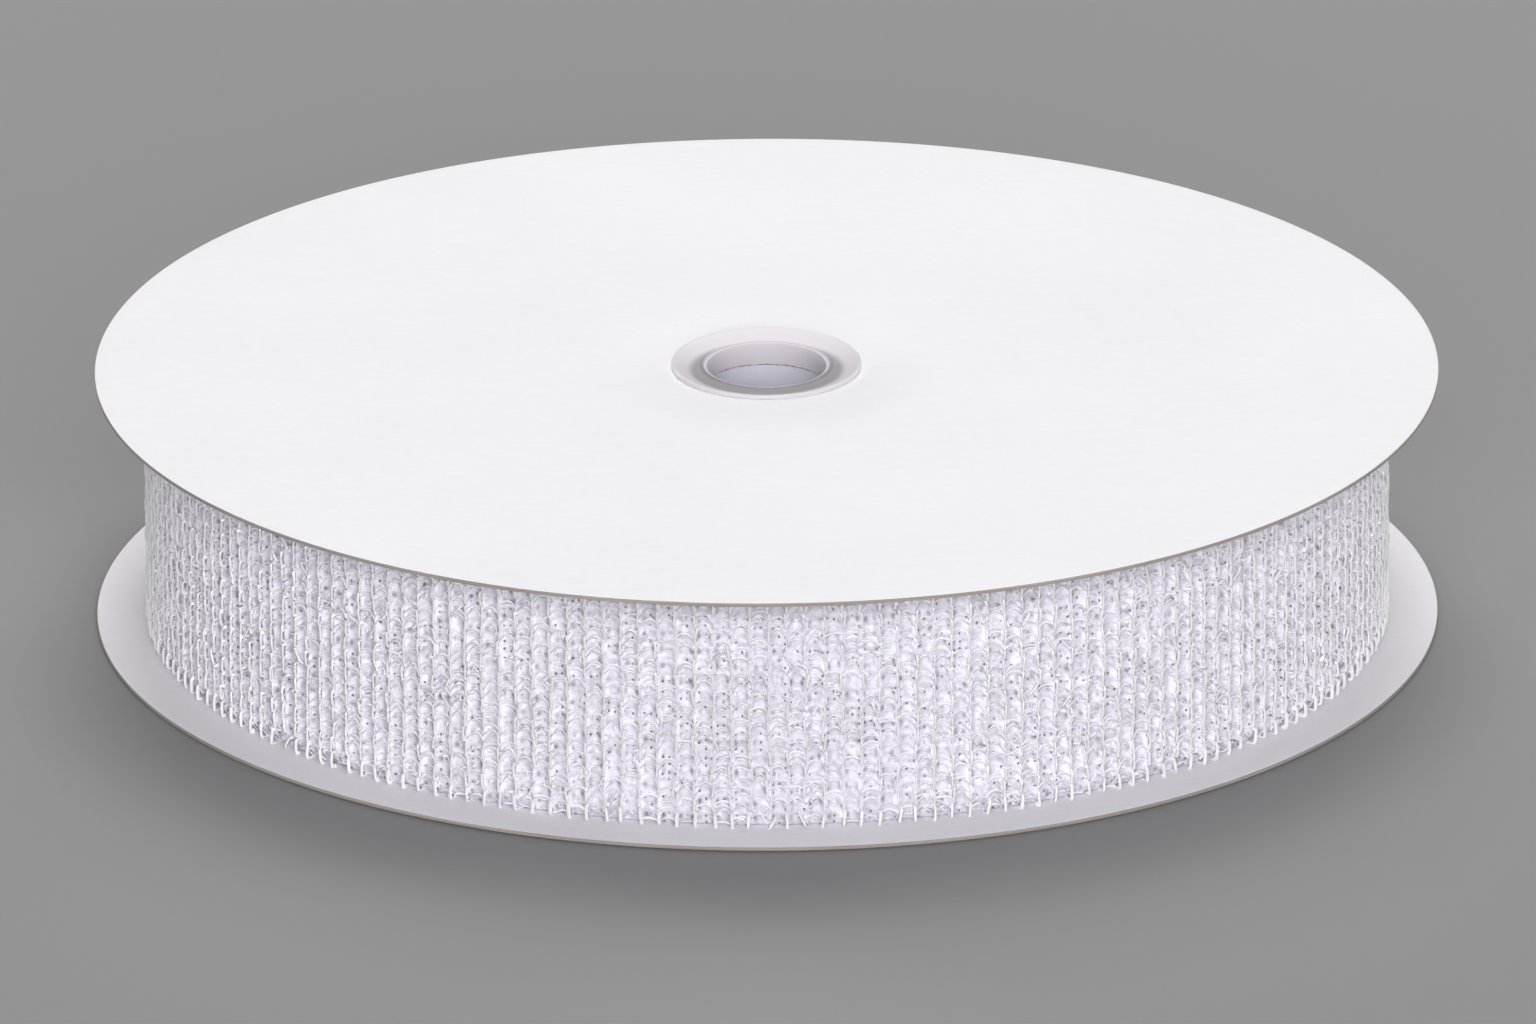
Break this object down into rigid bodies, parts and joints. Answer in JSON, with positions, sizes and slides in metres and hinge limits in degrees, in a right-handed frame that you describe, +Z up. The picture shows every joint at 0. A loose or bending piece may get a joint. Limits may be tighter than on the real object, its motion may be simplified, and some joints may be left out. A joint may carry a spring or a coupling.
{
  "type": "hook and loop tape roll",
  "caption": "Roll of white woven hook tape, wound hooks outwards on a flat paperboard reel with a snap-together plastic hub and a bore for a spindle; its free end lifts.",
  "frame": {"origin": "middle of the underside of the lower hub rim, on the reel's axis, at the surface that the reel lies on", "axes": "+Z up along the reel's axis; -Y towards the side of the roll that the picture shows, with the tape's free end on the far side, +Y"},
  "size_m": [0.14, 0.14, 0.0277],
  "materials": {
    "white_board": "matte",
    "kraft_tube": "matte",
    "hub_plastic": "satin",
    "tape_ground": "matte",
    "tape_hooks": "satin"
  },
  "bodies": {
    "reel": {"upper_flange": "white_board", "lower_flange": "white_board", "core_tube": "kraft_tube", "upper_hub": "hub_plastic", "lower_hub": "hub_plastic", "tape_inner_turns": "tape_ground", "tape_outer_turn": "tape_ground", "outer_turn_hooks_1": "tape_hooks", "outer_turn_hooks_2": "tape_hooks", "outer_turn_hooks_3": "tape_hooks"},
    "free_end": {"tape_free_end": "tape_ground", "free_end_hooks": "tape_hooks"}
  },
  "joints": [
    {"name": "free_end_lift", "type": "hinge", "parent": "reel", "child": "free_end", "pos_m": [0.00578, 0.06603, 0.01345], "axis": [0, 0, -1], "range_deg": [0, 60], "stiffness_Nm_per_rad": 0.0005}
  ]
}
